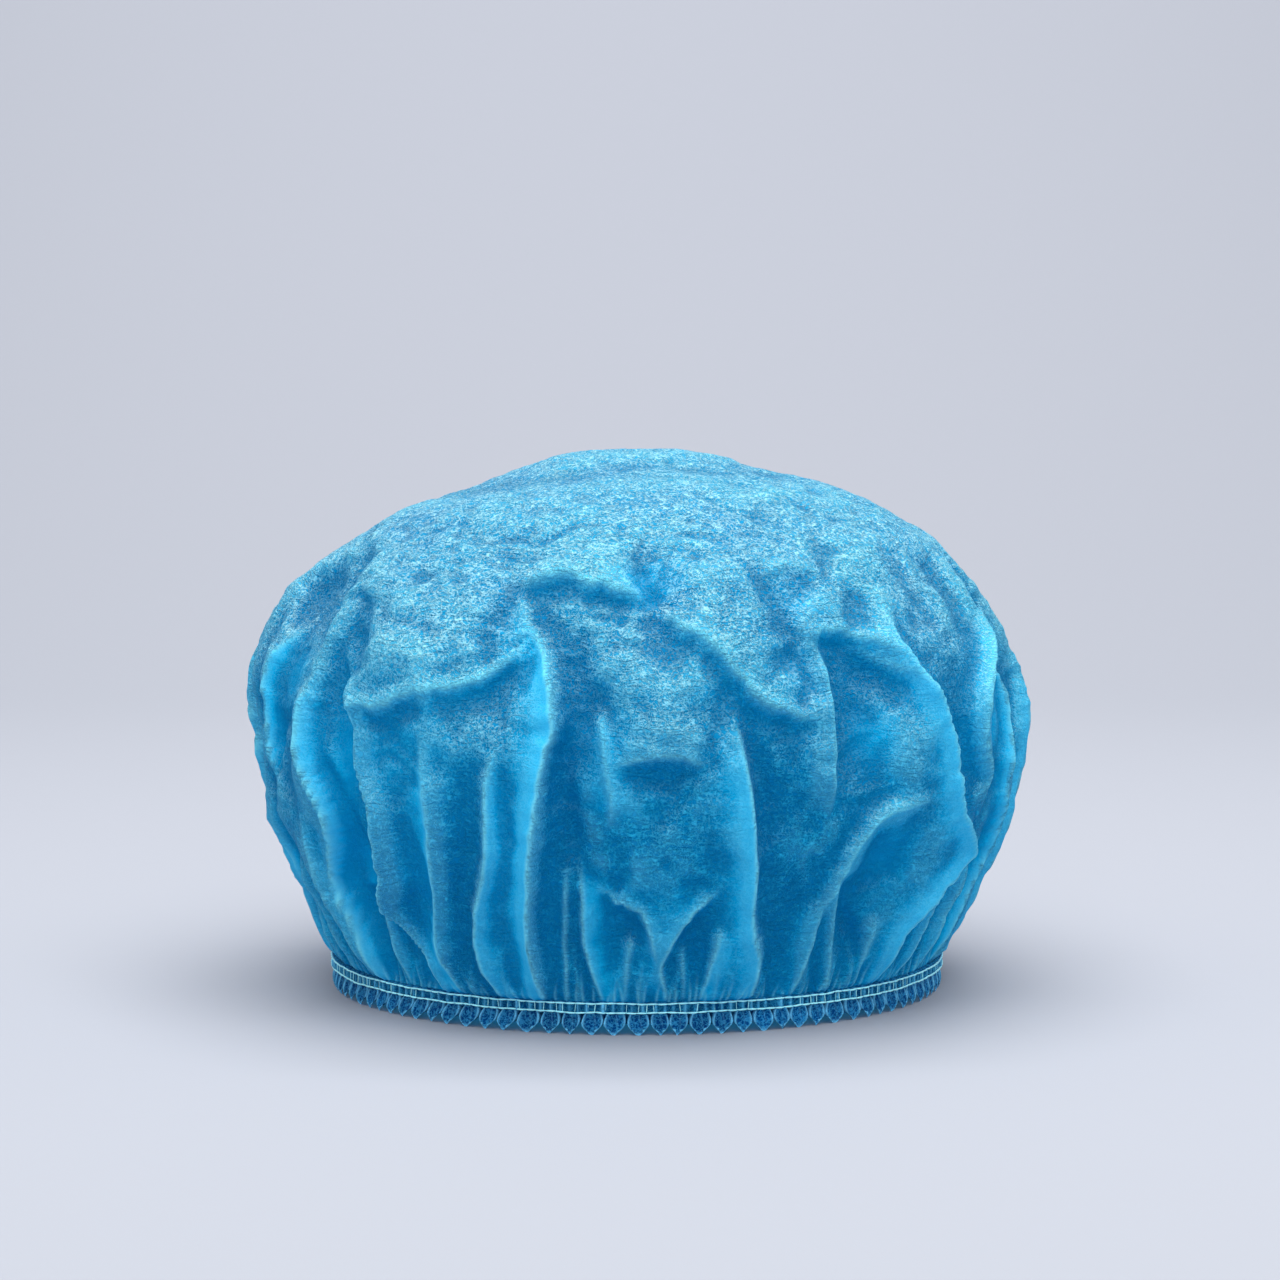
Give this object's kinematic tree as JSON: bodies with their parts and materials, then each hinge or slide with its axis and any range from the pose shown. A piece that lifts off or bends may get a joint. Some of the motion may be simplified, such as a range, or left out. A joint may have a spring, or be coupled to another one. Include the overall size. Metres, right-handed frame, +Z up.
{
  "type": "disposable bouffant cap",
  "caption": "Puffed disposable cap of blue non-woven fabric with a shouldered, folded crown and a stitched, gathered elastic rim with a looped frill.",
  "frame": {"origin": "centre of the rim, on the surface that the frill stands on", "axes": "+Z up through the crown; -Y is the front that the picture shows; +X is the picture's right"},
  "size_m": [0.2331, 0.229, 0.1545],
  "materials": {
    "crown": "thin spunbond non-woven, translucent, fine crinkle and short fibres, matt with a faint sheen",
    "gathered_hem": "folded non-woven, tightly pleated between two rows of pale stitching",
    "frill": "folded non-woven edge in small loops, deeper in colour where it is doubled",
    "elastic": "flat white elastic, matt"
  },
  "bodies": {
    "root": {"crown": "crown", "gathered_hem": "gathered_hem", "frill": "frill", "elastic": "elastic"}
  },
  "joints": []
}
